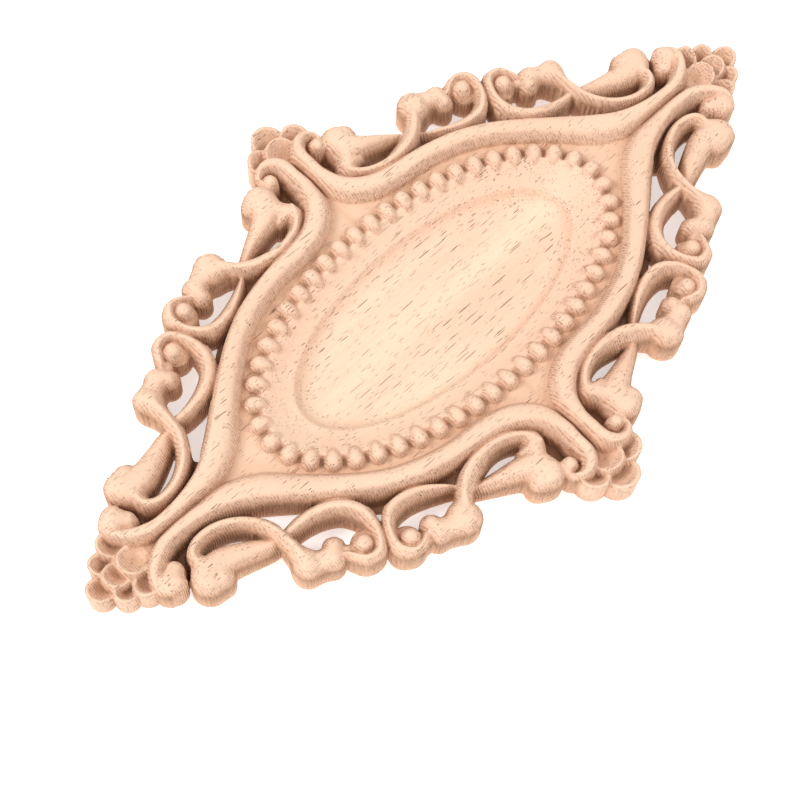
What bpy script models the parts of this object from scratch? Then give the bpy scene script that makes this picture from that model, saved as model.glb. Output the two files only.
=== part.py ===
"""Carved wooden applique: a lozenge-shaped relief cut from one flat-backed board.

The carving is the same in all four quarters, so one quarter is designed here and mirrored.
Design tables are in drawn units of 0.98 mm: x runs along the board from its centre, y across
it, z up from the flat back. The finished solid is scaled to metres, with its origin at the
centre of the back.
"""
import bpy
import bmesh
import numpy as np

DRAWN = 0.00098          # metres in one drawn unit

# Driving sizes, in drawn units
HALF_LENGTH = 102.2
HALF_WIDTH = 61.2
CREST = 10.3             # top of the moulding, the highest carving
SCROLL = 9.7             # tops of the scroll work and of the volute eyes
GROOVE = 1.7             # ground left between the moulding and the scrolls
CURL_GROUND = 1.4        # ground left behind the balls in the curls
V_FOOT = 6.0             # foot of the V grooves between the twin bands of the moulding
FIELD = 6.5              # ground between the moulding and the beads
BANK = 8.8               # the beads grow out of a bank this high, which falls to the dish
BANK_FOOT = 0.8          # the bank starts to rise this far inside the line of the beads
BANK_RISE = 1.5          # and reaches its height within this width
BANK_CURVE = 1.4         # how much flatter it is at the dish than on average
DISH_RIM = 4.9
DISH_FLOOR = 1.9
DISH_SLOPE = 9.5         # width of the hollow slope inside the rim
DISH_HOLLOW = 4.0        # how much steeper that slope is at the rim than on average
DISH = (41.1, 18.2)      # half axes of the dish rim
RING = (51.1, 25.1)      # half axes of the ring of beads
BEAD_COUNT = 50
BEAD_RADIUS = 2.05
BEAD_RISE = 2.6          # height of a bead above the field
BEAD_OUTER = 1.1         # length of a bead outside the ring, in bead radii
BEAD_INNER = 1.7         # and inside it
BEAD_EASE = 0.35         # how much softer than a ball a bead falls on that side
TIP_MARGIN = 5.0         # the ground ends this far inside the tips

# How a stem's side falls from its crest: drop, bulge and fall of the curve
MOULDING_OUTSIDE = (5.0, 2.2, 0.55)
MOULDING_INSIDE = (3.8, 3.3, 1.1)
HOLLOW_SIDE = (4.6, 2.1, 1.1)
ROUND_SIDE = (4.0, 2.0, 0.6)
LEVEL_SIDE = (0.0, 1.0, 1.0)

# How a puff is rounded: width of the rounded edge and its drop
SOFT = (3.3, 5.0)
EYE = (2.5, 3.2)
SHELF = (2.0, 2.0)
CUT_LEVEL = (0.1, 0.0)
BLEND = 0.9              # width over which two limbs of a puff run together

# Fineness of the cut surface
STEP = 0.35              # spacing of the carving grid
SHEET_TRIANGLES = 1700   # triangles kept on the carved side of a quarter
EDGE_SLACK = 0.05        # a height still counts this far outside a footprint
PROBE = 0.05             # the outline's slope is measured over this distance
SLIDES = 3               # times that a rim point is slid towards the outline
SLIDE = 0.6 * STEP       # the furthest that it goes each time
LEAST_SLOPE = 0.25       # square of the slope taken where the outline's is less
LINE_REACH = 0.12        # a rim point this near a mirror line belongs on it
SHARP_ANGLE = 35.0       # edges sharper than this many degrees stay sharp
MERGE = 0.00001          # metres between points of two quarters that become one
VOID = -1000.0           # height where nothing is left

WOOD_COLOUR = (0.91, 0.68, 0.48, 1.0)
WOOD_ROUGHNESS = 0.62


def smooth_rows(rows, per_span=8):
    """Rows of numbers joined by a smooth curve that passes through each of them."""
    rows = np.array(rows, float)
    if len(rows) < 3:
        return rows
    ends = np.vstack([2 * rows[0] - rows[1], rows, 2 * rows[-1] - rows[-2]])
    t = np.linspace(0, 1, per_span, endpoint=False)[:, None]
    spans = []
    for a, b, c, d in zip(ends, ends[1:], ends[2:], ends[3:]):
        square = 2 * a - 5 * b + 4 * c - d
        cube = 3 * b - a - 3 * c + d
        spans.append(0.5 * (2 * b + (c - a) * t + square * t**2 + cube * t**3))
    return np.vstack(spans + [rows[-1:]])


def nearest_on_path(x, y, path):
    """Distance to a path, the side of it (1 is left) and the path's row at the nearest place."""
    distance = np.full(x.shape, 1e9)
    side = np.ones(x.shape)
    row = np.zeros(x.shape + (path.shape[1],))
    for start, end in zip(path, path[1:]):
        dx, dy = end[:2] - start[:2]
        length = max(dx * dx + dy * dy, 1e-12)
        t = np.clip(((x - start[0]) * dx + (y - start[1]) * dy) / length, 0, 1)
        off_x = x - start[0] - t * dx
        off_y = y - start[1] - t * dy
        d = np.hypot(off_x, off_y)
        closer = d < distance
        distance[closer] = d[closer]
        side[closer] = np.where(dx * off_y - dy * off_x >= 0, 1.0, -1.0)[closer]
        row[closer] = (start + t[..., None] * (end - start))[closer]
    return distance, side, row


class Carving:
    """One carved element: a footprint in plan and a height over it."""

    box = (0.0, 0.0, HALF_LENGTH + 2, HALF_WIDTH + 2)

    def bound(self, x, y, reach):
        """Keep the box that the footprint lies in."""
        self.box = (x.min() - reach, y.min() - reach, x.max() + reach, y.max() + reach)

    def over(self, x, y):
        """Height and inside distance at points; no height outside the footprint."""
        height = np.full(x.shape, VOID)
        inside = np.full(x.shape, VOID)
        low_x, low_y, high_x, high_y = self.box
        near = (x >= low_x) & (x <= high_x) & (y >= low_y) & (y <= high_y)
        if near.any():
            z, f = self.shape(x[near], y[near])
            height[near] = np.where(f > -EDGE_SLACK, z, VOID)
            inside[near] = f
        return height, inside


class Stem(Carving):
    """A stem with a crest line. Rows hold x, y, width left, width right and crest height.

    Each side falls by its drop from the crest to its edge, as 1 - (1 - v**bulge)**fall does.
    """

    def __init__(self, rows, left, right):
        self.path = smooth_rows(rows)
        self.sides = {1: left, -1: right}
        self.bound(self.path[:, 0], self.path[:, 1], self.path[:, 2:4].max() + EDGE_SLACK)

    def shape(self, x, y):
        distance, side, row = nearest_on_path(x, y, self.path)
        width = np.where(side > 0, row[..., 2], row[..., 3])
        v = np.clip(distance / np.maximum(width, 1e-3), 0, 1)
        height = np.empty_like(v)
        for sign, (drop, bulge, fall) in self.sides.items():
            here = side == sign
            height[here] = row[here][..., 4] - drop * (1 - (1 - v[here]**bulge)**fall)
        return height, width - distance


class Puff(Carving):
    """Round lobes and limbs run together. Rows of each limb hold x, y, radius and height."""

    def __init__(self, rounding, *limbs):
        self.width, self.drop = rounding
        self.limbs = [smooth_rows(limb, 6) for limb in limbs]
        rows = np.vstack(self.limbs)
        self.bound(rows[:, 0], rows[:, 1], rows[:, 2].max() + BLEND)

    def shape(self, x, y):
        inside = np.full(x.shape, -50.0)
        weighted = np.zeros(x.shape)
        weights = np.zeros(x.shape)
        for limb in self.limbs:
            if len(limb) == 1:
                f = limb[0, 2] - np.hypot(x - limb[0, 0], y - limb[0, 1])
                top = np.full(x.shape, limb[0, 3])
            else:
                distance, _, row = nearest_on_path(x, y, limb)
                f = row[..., 2] - distance
                top = row[..., 3]
            weight = np.exp(np.clip(f, -20, 20))
            weighted += weight * top
            weights += weight
            mix = np.clip(0.5 + 0.5 * (f - inside) / BLEND, 0, 1)
            inside = mix * f + (1 - mix) * inside + BLEND * mix * (1 - mix)
        v = 1 - np.clip(inside / self.width, 0, 1)
        return weighted / weights - self.drop * (1 - np.sqrt(1 - v**2)), inside


def inside_ellipse(x, y, axes):
    """Distance inside an ellipse about the centre, negative outside, good near its edge."""
    a, b = axes
    r = np.maximum(np.hypot(x / a, y / b), 1e-6)
    return (1 - r) * r / np.maximum(np.hypot(x / a**2, y / b**2), 1e-9)


class Ground(Carving):
    """The ground inside the moulding, with the dish sunk in it."""

    def __init__(self, crest_rows):
        crest = smooth_rows(crest_rows)
        self.crest = crest[np.argsort(crest[:, 0])]
        self.box = (0, 0, crest[:, 0].max() - TIP_MARGIN, crest[:, 1].max() - TIP_MARGIN)

    def shape(self, x, y):
        dish = inside_ellipse(x, y, DISH)
        ring = inside_ellipse(x, y, RING)
        v = np.clip(dish / DISH_SLOPE, 0, 1)
        sunk = DISH_FLOOR + (DISH_RIM - DISH_FLOOR) * (1 - v)**DISH_HOLLOW
        up = np.clip(-dish / np.maximum(ring - dish, 1e-6), 0, 1)
        rise = np.clip((ring - BANK_FOOT) / BANK_RISE, 0, 1)
        banked = DISH_RIM + (BANK - DISH_RIM) * up**BANK_CURVE
        banked = FIELD + (banked - FIELD) * rise * rise * (3 - 2 * rise)
        height = np.where(dish > 0, sunk, banked)
        return height, np.interp(x, self.crest[:, 0], self.crest[:, 1]) - y


class BeadRing(Carving):
    """A ring of domed beads, evenly spaced along an ellipse, with one at each long end."""

    def __init__(self):
        a, b = RING
        t = np.linspace(0, 2 * np.pi, 3601)
        steps = np.hypot(np.diff(a * np.cos(t)), np.diff(b * np.sin(t)))
        run = np.concatenate([[0], np.cumsum(steps)])
        angle = np.interp(np.arange(BEAD_COUNT) * run[-1] / BEAD_COUNT, run, t)
        self.beads = [(a * np.cos(s), b * np.sin(s), s) for s in angle]
        self.box = (0, 0, a + 2 * BEAD_RADIUS, b + 2 * BEAD_RADIUS)

    def shape(self, x, y):
        height = np.full(x.shape, VOID)
        for cx, cy, s in self.beads:
            if cx < -BEAD_RADIUS or cy < -BEAD_RADIUS:
                continue
            nx, ny = np.cos(s) / RING[0], np.sin(s) / RING[1]
            length = np.hypot(nx, ny)
            across = ((x - cx) * nx + (y - cy) * ny) / length / BEAD_RADIUS
            across /= np.where(across > 0, BEAD_OUTER, BEAD_INNER)
            along = ((y - cy) * nx - (x - cx) * ny) / length / BEAD_RADIUS
            r = across**2 + along**2
            roundness = 0.5 + BEAD_EASE * np.clip(-across, 0, 1)
            dome = FIELD + BEAD_RISE * np.clip(1 - r, 0, 1)**roundness
            height = np.maximum(height, np.where(r < 1, dome, VOID))
        return height, np.where(height > 0, 1.0, -1.0)


class Shell(Carving):
    """Scooped scales that fan out from a root, each lying over the one before it.

    Rows hold x, y, radius and rim height. A scale is highest at its far rim.
    """

    LIP = 0.7            # width of the rounded rim
    LIP_DROP = 1.0       # the rim's edge lies this much below its top
    SCOOP = 2.1          # depth of the hollow below the rim
    TILT = 3.0           # fall from the far rim to the side nearest the root

    def __init__(self, root, scales):
        self.root = np.array(root, float)
        self.scales = scales
        rows = np.array(scales)
        self.bound(rows[:, 0], rows[:, 1], rows[:, 2].max())

    def shape(self, x, y):
        height = np.full(x.shape, VOID)
        inside = np.full(x.shape, VOID)
        for cx, cy, radius, rim in self.scales:
            f = radius - np.hypot(x - cx, y - cy)
            outward = np.array([cx, cy]) - self.root
            outward /= np.hypot(*outward)
            reach = ((x - cx) * outward[0] + (y - cy) * outward[1]) / radius
            hollow = np.clip((f - self.LIP) / (radius - self.LIP), 0, 1)
            lip = np.clip(1 - f / self.LIP, 0, 1)
            z = rim - self.SCOOP * (1 - (1 - hollow)**2) - self.LIP_DROP * lip**2
            z -= self.TILT * np.clip(1 - reach, 0, 2) / 2
            height = np.where(f > 0, z, np.where(height > VOID, height, z))
            inside = np.maximum(inside, f)
        return height, inside


# Crest of the moulding from the short tip round to the long tip:
# x, y, width outside the crest, width inside it, crest height
MOULDING = [
    (2.6, 45.5, 2.0, 2.4, CREST), (2.7, 41.2, 2.1, 2.8, CREST),
    (4.7, 36.0, 2.4, 4.0, CREST), (9.2, 32.2, 2.6, 3.9, CREST), (15.5, 30.5, 2.4, 3.7, CREST),
    (24.0, 29.6, 2.2, 3.6, CREST), (32.6, 27.3, 2.3, 3.6, CREST), (40.3, 23.6, 2.3, 3.6, CREST),
    (47.2, 18.6, 2.4, 3.8, CREST), (54.1, 13.0, 2.5, 4.4, CREST), (60.1, 8.2, 2.5, 5.4, CREST),
    (66.1, 4.6, 2.2, 4.8, CREST), (73.0, 2.7, 1.9, 3.0, CREST), (80.0, 2.1, 1.8, 2.3, CREST),
]
# The same crest where it curls round a ball at the short tip and at the long tip
SHORT_CURL = [
    (9.3, 49.2, 0.7, 0.8, 8.6), (8.7, 50.8, 1.0, 1.0, 9.2), (6.6, 52.0, 1.6, 1.5, 9.7),
    (4.3, 51.4, 2.0, 1.9, 10.1), (2.8, 49.0, 2.0, 2.4, CREST),
]
LONG_CURL = [
    (84.0, 2.7, 2.0, 2.3, CREST), (87.4, 4.5, 2.0, 1.9, 10.1), (89.8, 7.1, 1.7, 1.4, 9.6),
    (90.3, 9.4, 1.1, 0.9, 9.0), (89.4, 11.1, 0.7, 0.7, 8.4),
]


def tips():
    """The ground, the beads, the moulding with its curls and balls, and the shells on the tips."""
    return [
        Ground(MOULDING),
        BeadRing(),
        Stem(SHORT_CURL + MOULDING + LONG_CURL, MOULDING_OUTSIDE, MOULDING_INSIDE),
        Puff(EYE, [(7.4, 48.2, 2.15, 9.6)]),
        Puff(EYE, [(87.1, 9.2, 3.3, 9.9), (85.3, 7.6, 2.5, 8.8)]),
        Shell((0, 47.0), [(0, 56.9, 4.3, 8.2), (4.7, 53.2, 4.0, 8.7), (0, 52.0, 4.4, 9.3)]),
        Shell((84.0, 0), [(98.9, 0, 3.2, 7.7), (95.3, 4.0, 2.9, 8.0), (91.3, 5.9, 3.1, 8.6),
                          (94.4, 0, 3.4, 8.5), (89.8, 0, 3.9, 9.1)]),
    ]


def short_side():
    """The three scrolls nearest the short tip."""
    return [
        # knuckle, leaf and the bend under it
        Puff(SOFT, [(12.2, 46.2, 4.15, 9.9)], [(14.8, 46.3, 2.65, 9.5)],
             [(12.4, 43.8, 3.9, 9.9), (14.3, 42.2, 3.5, 9.6), (17.5, 40.8, 2.7, 9.0),
              (21.1, 39.4, 2.1, 8.1), (25.3, 37.6, 1.5, 6.8)],
             [(11.8, 42.4, 2.6, 9.6), (9.9, 40.2, 2.8, 9.3), (8.7, 38.4, 2.5, 9.1), (10.0, 36.2, 1.9, 9.0)],
             [(10.0, 39.8, 2.4, 9.2), (11.4, 39.4, 1.9, 8.8), (12.8, 39.0, 1.2, 8.2)]),
        # stem with its lobes and bud
        Stem([(8.0, 40.0, 2.0, 1.0, 9.0), (8.9, 37.4, 2.0, 1.3, 9.0), (11.8, 34.9, 2.0, 1.4, 9.2),
              (16.0, 33.5, 2.1, 1.4, 9.4), (20.5, 33.2, 2.9, 1.4, 9.6), (25.0, 34.2, 3.1, 1.5, SCROLL),
              (28.4, 36.6, 2.5, 1.6, SCROLL), (30.6, 39.6, 2.2, 2.2, SCROLL)], HOLLOW_SIDE, ROUND_SIDE),
        Puff(SOFT, [(32.4, 41.0, 4.1, 9.9)], [(38.5, 39.7, 2.8, 9.5)],
             [(30.0, 38.2, 2.0, 9.7), (32.2, 40.0, 3.0, 9.8)],
             [(35.6, 40.6, 2.8, 8.7), (38.2, 38.8, 2.7, 9.3), (38.6, 37.2, 2.6, 8.9)]),
        # small volute and its eye
        Stem([(27.5, 35.4, 0.8, 0.6, 6.2), (30.5, 32.8, 1.8, 0.9, 7.5), (34.5, 30.2, 2.5, 1.2, 8.5),
              (38.5, 28.7, 2.8, 1.3, 9.1), (42.5, 28.6, 2.8, 1.3, 9.5), (45.4, 30.6, 2.2, 1.3, SCROLL),
              (47.1, 33.8, 1.6, 1.5, SCROLL), (47.2, 37.0, 1.3, 2.2, SCROLL), (45.3, 39.2, 1.1, 1.7, 9.6),
              (42.9, 39.0, 0.9, 1.5, 9.2), (41.0, 38.0, 0.7, 1.2, 8.6)], HOLLOW_SIDE, ROUND_SIDE),
        Puff(SHELF, [(45.0, 36.3, 3.7, 6.9)]),
        Puff(EYE, [(44.1, 36.5, 2.3, SCROLL)]),
        Puff(SHELF, [(41.9, 38.6, 1.9, 7.4)]),
    ]


def long_side():
    """The three scrolls nearest the long tip."""
    return [
        # large volute and its eye
        Stem([(63.4, 17.9, 1.6, 1.8, 7.7), (58.5, 17.9, 1.8, 2.1, 8.5), (54.0, 18.9, 2.0, 2.3, 9.1),
              (50.2, 21.2, 2.1, 2.3, 9.5), (48.0, 24.6, 2.1, 2.3, SCROLL), (47.8, 28.4, 1.7, 1.9, SCROLL),
              (49.1, 31.9, 1.6, 1.6, SCROLL), (51.1, 33.9, 1.9, 1.4, SCROLL), (53.8, 33.6, 1.8, 1.2, 9.6),
              (55.4, 31.4, 1.5, 1.1, 9.2), (56.3, 29.7, 1.2, 0.9, 8.7)], ROUND_SIDE, HOLLOW_SIDE),
        Puff(SHELF, [(51.7, 31.0, 3.7, 6.9)]),
        Puff(EYE, [(52.4, 30.7, 2.35, SCROLL)]),
        Puff(SHELF, [(56.0, 29.4, 1.9, 7.4)]),
        # lobes and bud on a stem that sweeps towards the long tip
        Puff(SOFT, [(59.1, 28.4, 2.9, 9.5)], [(63.8, 25.8, 3.5, 9.8)],
             [(61.4, 27.2, 2.7, 8.7), (58.6, 27.6, 2.7, 9.2), (57.2, 26.6, 2.6, 8.9)],
             [(63.8, 24.6, 2.9, 9.8), (63.9, 20.4, 1.8, 9.7)]),
        Stem([(63.6, 24.0, 2.0, 1.8, 9.7), (63.7, 19.5, 1.8, 1.5, 9.7), (64.3, 15.0, 1.8, 1.6, 9.7),
              (66.4, 10.9, 1.9, 1.5, 9.5), (69.6, 7.9, 2.1, 1.4, 9.3), (73.4, 6.2, 2.3, 1.4, 9.1),
              (77.2, 6.0, 2.2, 1.4, 9.0), (79.7, 7.2, 2.1, 1.5, 9.2), (80.6, 9.0, 1.8, 1.3, 9.3)],
             HOLLOW_SIDE, ROUND_SIDE),
        # knuckle and leaf beside the long tip
        Puff(SOFT, [(81.2, 14.1, 3.95, 9.8)], [(78.8, 15.5, 2.9, 9.4)],
             [(80.7, 12.9, 3.6, 9.8), (76.6, 12.9, 3.4, 9.3), (71.6, 14.6, 2.9, 8.4),
              (66.8, 16.7, 2.3, 7.2), (63.5, 17.6, 1.7, 6.6)],
             [(80.4, 11.0, 2.6, 9.6), (80.2, 9.2, 1.9, 9.3)]),
    ]


def grooves():
    """The ground left in the narrow grooves beside the moulding."""
    return [
        Stem([(5.4, 45.0, 1.5, 1.5, CURL_GROUND), (6.4, 39.5, 1.6, 1.6, 2.6), (9.5, 35.0, 1.6, 1.6, 5.2),
              (15.0, 32.6, 1.6, 1.6, 5.4), (23.0, 32.0, 1.8, 1.8, 5.0), (28.2, 31.6, 2.8, 2.8, 2.8),
              (34.0, 29.2, 1.7, 1.7, GROOVE), (40.8, 26.2, 1.7, 1.7, GROOVE), (46.0, 22.5, 1.6, 1.6, GROOVE),
              (50.5, 19.0, 1.5, 1.5, GROOVE), (53.0, 17.0, 1.0, 1.0, GROOVE)], LEVEL_SIDE, LEVEL_SIDE),
        Stem([(65.5, 8.6, 1.2, 1.2, GROOVE), (69.0, 6.0, 1.6, 1.6, GROOVE), (75.0, 4.4, 1.6, 1.6, GROOVE),
              (81.6, 5.2, 2.2, 2.2, GROOVE), (83.6, 8.4, 2.6, 2.6, CURL_GROUND)], LEVEL_SIDE, LEVEL_SIDE),
        Puff(CUT_LEVEL, [(7.4, 44.0, 3.2, CURL_GROUND)], [(5.4, 47.8, 2.2, CURL_GROUND)]),
        # foot of the V grooves between the twin bands, and of the notch between two scales
        Stem([(74.0, 0, 1.4, 1.4, FIELD), (87.0, 0, 1.4, 1.4, V_FOOT)], LEVEL_SIDE, LEVEL_SIDE),
        Stem([(0, 38.0, 1.2, 1.2, V_FOOT), (0, 48.5, 1.2, 1.2, V_FOOT)], LEVEL_SIDE, LEVEL_SIDE),
        Puff(CUT_LEVEL, [(92.5, 2.9, 0.8, V_FOOT)]),
    ]


def carve(elements, x, y):
    """The highest element at each point, and how far inside the outline the point is."""
    height = np.full(x.shape, VOID)
    inside = np.full(x.shape, VOID)
    for element in elements:
        z, f = element.over(x, y)
        height = np.maximum(height, z)
        inside = np.maximum(inside, f)
    return height, inside


def solid_cells(inside):
    """Grid cells that lie inside the outline, with no two that touch only at a corner."""
    cells = (inside[:-1, :-1] + inside[1:, :-1] + inside[:-1, 1:] + inside[1:, 1:]) > 0
    while True:
        a, b = cells[:-1, :-1], cells[1:, 1:]
        c, d = cells[:-1, 1:], cells[1:, :-1]
        falling = a & b & ~c & ~d
        rising = c & d & ~a & ~b
        if not (falling.any() or rising.any()):
            return cells
        cells[:-1, 1:] |= falling
        cells[:-1, :-1] |= rising


def carved_sheet(elements):
    """Mesh of the carved surface of one quarter, in drawn units, its rim on the outline."""
    x, y = np.meshgrid(np.arange(0, HALF_LENGTH + 2, STEP), np.arange(0, HALF_WIDTH + 2, STEP))
    _, inside = carve(elements, x, y)
    cells = solid_cells(inside)
    rows, cols = np.nonzero(cells)
    width = x.shape[1]
    corner = rows * width + cols
    quads = np.stack([corner, corner + 1, corner + 1 + width, corner + width], 1)
    used, packed = np.unique(quads, return_inverse=True)
    px, py = x.ravel()[used], y.ravel()[used]

    # Rim points slide onto the outline; points on the mirror lines slide along them
    count = np.zeros(x.size, int)
    np.add.at(count, quads.ravel(), 1)
    rim = count[used] < 4
    for _ in range(SLIDES):
        here = carve(elements, px[rim], py[rim])[1]
        east = carve(elements, px[rim] + PROBE, py[rim])[1]
        north = carve(elements, px[rim], py[rim] + PROBE)[1]
        gx, gy = (east - here) / PROBE, (north - here) / PROBE
        on_x, on_y = px[rim] == 0, py[rim] == 0
        gx, gy = np.where(on_x, 0, gx), np.where(on_y, 0, gy)
        steep = np.maximum(gx**2 + gy**2, LEAST_SLOPE)
        held = (on_x | on_y) & (here > STEP)
        shift = np.where(held, 0, np.clip(here / steep, -SLIDE, SLIDE))
        px[rim] -= shift * gx
        py[rim] -= shift * gy
    height, _ = carve(elements, px, py)
    height[height < 0] = GROOVE

    mesh = bpy.data.meshes.new("carved_sheet")
    points = np.stack([px, py, height], 1)
    mesh.from_pydata(points.tolist(), [], packed.reshape(-1, 4).tolist())
    mesh.update()
    return mesh


def thinned(mesh, triangles):
    """The sheet brought down to a number of triangles, keeping its ridges and rim."""
    sheet = bpy.data.objects.new("sheet", mesh)
    bpy.context.scene.collection.objects.link(sheet)
    thin = sheet.modifiers.new("thin", "DECIMATE")
    thin.ratio = triangles / (2 * len(mesh.polygons))
    graph = bpy.context.evaluated_depsgraph_get()
    result = bpy.data.meshes.new_from_object(sheet.evaluated_get(graph))
    bpy.data.objects.remove(sheet)
    bpy.data.meshes.remove(mesh)
    return result


def quarter_block(sheet):
    """Walls and a flat back added to the carved sheet; its mirror lines stay open."""
    bm = bmesh.new()
    bm.from_mesh(sheet)
    for vert in bm.verts:
        if vert.is_boundary:
            vert.co.x = 0.0 if vert.co.x < LINE_REACH else vert.co.x
            vert.co.y = 0.0 if vert.co.y < LINE_REACH else vert.co.y
    bmesh.ops.triangulate(bm, faces=bm.faces[:])
    rim = [edge for edge in bm.edges if edge.is_boundary]
    grown = bmesh.ops.extrude_edge_only(bm, edges=rim)["geom"]
    low_verts = [item for item in grown if isinstance(item, bmesh.types.BMVert)]
    for vert in low_verts:
        vert.co.z = 0.0
    low_edges = [item for item in grown if isinstance(item, bmesh.types.BMEdge) and item.is_boundary]
    bmesh.ops.triangle_fill(bm, edges=low_edges, use_beauty=True)
    on_line = [
        face for face in bm.faces
        if all(vert.co.x == 0.0 for vert in face.verts) or all(vert.co.y == 0.0 for vert in face.verts)
    ]
    bmesh.ops.delete(bm, geom=on_line, context="FACES")
    bmesh.ops.scale(bm, vec=(DRAWN, DRAWN, DRAWN), verts=bm.verts[:])
    bmesh.ops.recalc_face_normals(bm, faces=bm.faces[:])
    mesh = bpy.data.meshes.new("carved_applique")
    bm.to_mesh(mesh)
    bm.free()
    return mesh


def bare_wood():
    """Pale unfinished wood."""
    material = bpy.data.materials.new("bare_wood")
    material.use_nodes = True
    shader = material.node_tree.nodes["Principled BSDF"]
    shader.inputs["Base Color"].default_value = WOOD_COLOUR
    shader.inputs["Roughness"].default_value = WOOD_ROUGHNESS
    shader.inputs["Metallic"].default_value = 0.0
    return material


def build():
    """The applique as one closed solid."""
    sheet = thinned(carved_sheet(tips() + short_side() + long_side() + grooves()), SHEET_TRIANGLES)
    mesh = quarter_block(sheet)
    bpy.data.meshes.remove(sheet)
    applique = bpy.data.objects.new("carved_applique", mesh)
    bpy.context.scene.collection.objects.link(applique)
    applique.data.materials.append(bare_wood())
    mirror = applique.modifiers.new("four_quarters", "MIRROR")
    mirror.use_axis = (True, True, False)
    mirror.use_mirror_merge = True
    mirror.merge_threshold = MERGE
    mesh.shade_smooth()
    mesh.set_sharp_from_angle(angle=np.radians(SHARP_ANGLE))
    return applique


for leftover in list(bpy.data.objects):
    bpy.data.objects.remove(leftover)
build()
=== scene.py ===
"""Carved wooden applique: a lozenge-shaped relief cut from one flat-backed board of pale wood.

The carving is the same in all four quarters, so one quarter is carved and then mirrored.
Design tables are in drawn units of 0.98 mm: x runs along the board from its centre, y across
it and z up from the flat back. The finished piece is in metres, lying on its back.
"""
import logging
import math
from dataclasses import dataclass, field
from enum import Enum
from typing import Union

import bpy
import numpy as np
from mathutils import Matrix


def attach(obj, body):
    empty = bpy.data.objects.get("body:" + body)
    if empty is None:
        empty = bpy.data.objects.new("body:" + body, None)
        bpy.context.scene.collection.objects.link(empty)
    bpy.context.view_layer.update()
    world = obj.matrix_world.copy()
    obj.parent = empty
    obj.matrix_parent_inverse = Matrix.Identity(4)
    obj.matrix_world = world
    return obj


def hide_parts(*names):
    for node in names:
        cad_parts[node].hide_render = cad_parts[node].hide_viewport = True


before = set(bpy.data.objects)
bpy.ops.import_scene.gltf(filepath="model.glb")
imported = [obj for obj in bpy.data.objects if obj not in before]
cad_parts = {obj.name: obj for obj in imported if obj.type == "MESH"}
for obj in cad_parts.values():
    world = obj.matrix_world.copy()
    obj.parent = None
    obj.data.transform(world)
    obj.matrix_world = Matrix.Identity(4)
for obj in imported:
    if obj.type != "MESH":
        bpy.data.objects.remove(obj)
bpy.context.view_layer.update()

log = logging.getLogger("applique")

Array = np.ndarray
Row = tuple[float, ...]

DRAWN = 0.00098           # metres in one drawn unit
MILLIMETRES = 1000.0      # in a metre

# Driving sizes, in drawn units
HALF_LENGTH = 102.2
HALF_WIDTH = 61.2
CREST = 10.3              # top of the moulding, the highest carving
SCROLL = 9.7              # tops of the scroll work and of the volute eyes
GROOVE = 1.7              # ground left between the moulding and the scrolls
CURL_GROUND = 1.4         # ground left behind the balls in the curls
FIELD = 6.5               # ground between the moulding and the beads
V_FOOT = 6.0              # foot of the V grooves between the twin bands of the moulding
BEAD_RADIUS = 2.05
BACK = 0.01               # anything lower than this lies on the back
EDGE_SLACK = 0.05         # a height still counts this far outside a footprint
OFF_LINE = 1e-6           # a point further than this from a centre line isn't on it
VOID = -1000.0            # height where nothing is left
LEAST_SHARE = 1e-4        # a blurred value counts where this share of it lies on the wood
BLUR_REACH = 3            # a blur ends this many spreads away
FAR = 1e9                 # distance before any is measured
FAR_OUTSIDE = -50.0       # how far inside a puff a point is before any limb is laid
STRONGEST = 20.0          # limit of the power that weighs the limbs of a puff


def smooth_rows(rows: list[Row], per_span: int = 8) -> Array:
    """Join rows of numbers by a smooth curve that passes through each of them.

    Args:
        rows: the rows, each a place on the curve and the values it carries.
        per_span: how many steps each span between two rows gets.

    Returns:
        The rows of the smooth curve.
    """
    table = np.array(rows, float)
    if len(table) < 3:
        return table
    ends = np.vstack([2 * table[0] - table[1], table, 2 * table[-1] - table[-2]])
    t = np.linspace(0, 1, per_span, endpoint=False)[:, None]
    spans = []
    for a, b, c, d in zip(ends, ends[1:], ends[2:], ends[3:]):
        square = 2 * a - 5 * b + 4 * c - d
        cube = 3 * b - a - 3 * c + d
        spans.append(0.5 * (2 * b + (c - a) * t + square * t**2 + cube * t**3))
    return np.vstack(spans + [table[-1:]])


def nearest_on_path(x: Array, y: Array, path: Array) -> tuple[Array, Array, Array]:
    """Find the nearest place on a path for each point.

    Args:
        x: places along the board.
        y: places across it.
        path: rows of the path, x and y first.

    Returns:
        The distance to the path, the side of it (1 is left) and the path's row there.
    """
    distance = np.full(x.shape, FAR)
    side = np.ones(x.shape)
    row = np.zeros(x.shape + (path.shape[1],))
    for start, end in zip(path, path[1:]):
        dx, dy = end[:2] - start[:2]
        length = max(dx * dx + dy * dy, 1e-12)
        t = np.clip(((x - start[0]) * dx + (y - start[1]) * dy) / length, 0, 1)
        off_x = x - start[0] - t * dx
        off_y = y - start[1] - t * dy
        d = np.hypot(off_x, off_y)
        closer = d < distance
        distance[closer] = d[closer]
        side[closer] = np.where(dx * off_y - dy * off_x >= 0, 1.0, -1.0)[closer]
        row[closer] = (start + t[..., None] * (end - start))[closer]
    return distance, side, row


class Flank(Enum):
    """How a stem's side falls from its crest: drop, bulge and fall of the curve."""

    MOULDING_OUTSIDE = (5.0, 2.2, 0.55)
    MOULDING_INSIDE = (3.8, 3.3, 1.1)
    HOLLOW = (4.6, 2.1, 1.1)
    ROUND = (4.0, 2.0, 0.6)
    LEVEL = (0.0, 1.0, 1.0)

    def fall(self, v: Array) -> Array:
        """Drop below the crest at v, the share of the way from the crest to the edge."""
        drop, bulge, fall = self.value
        return drop * (1 - (1 - v**bulge)**fall)


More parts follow.
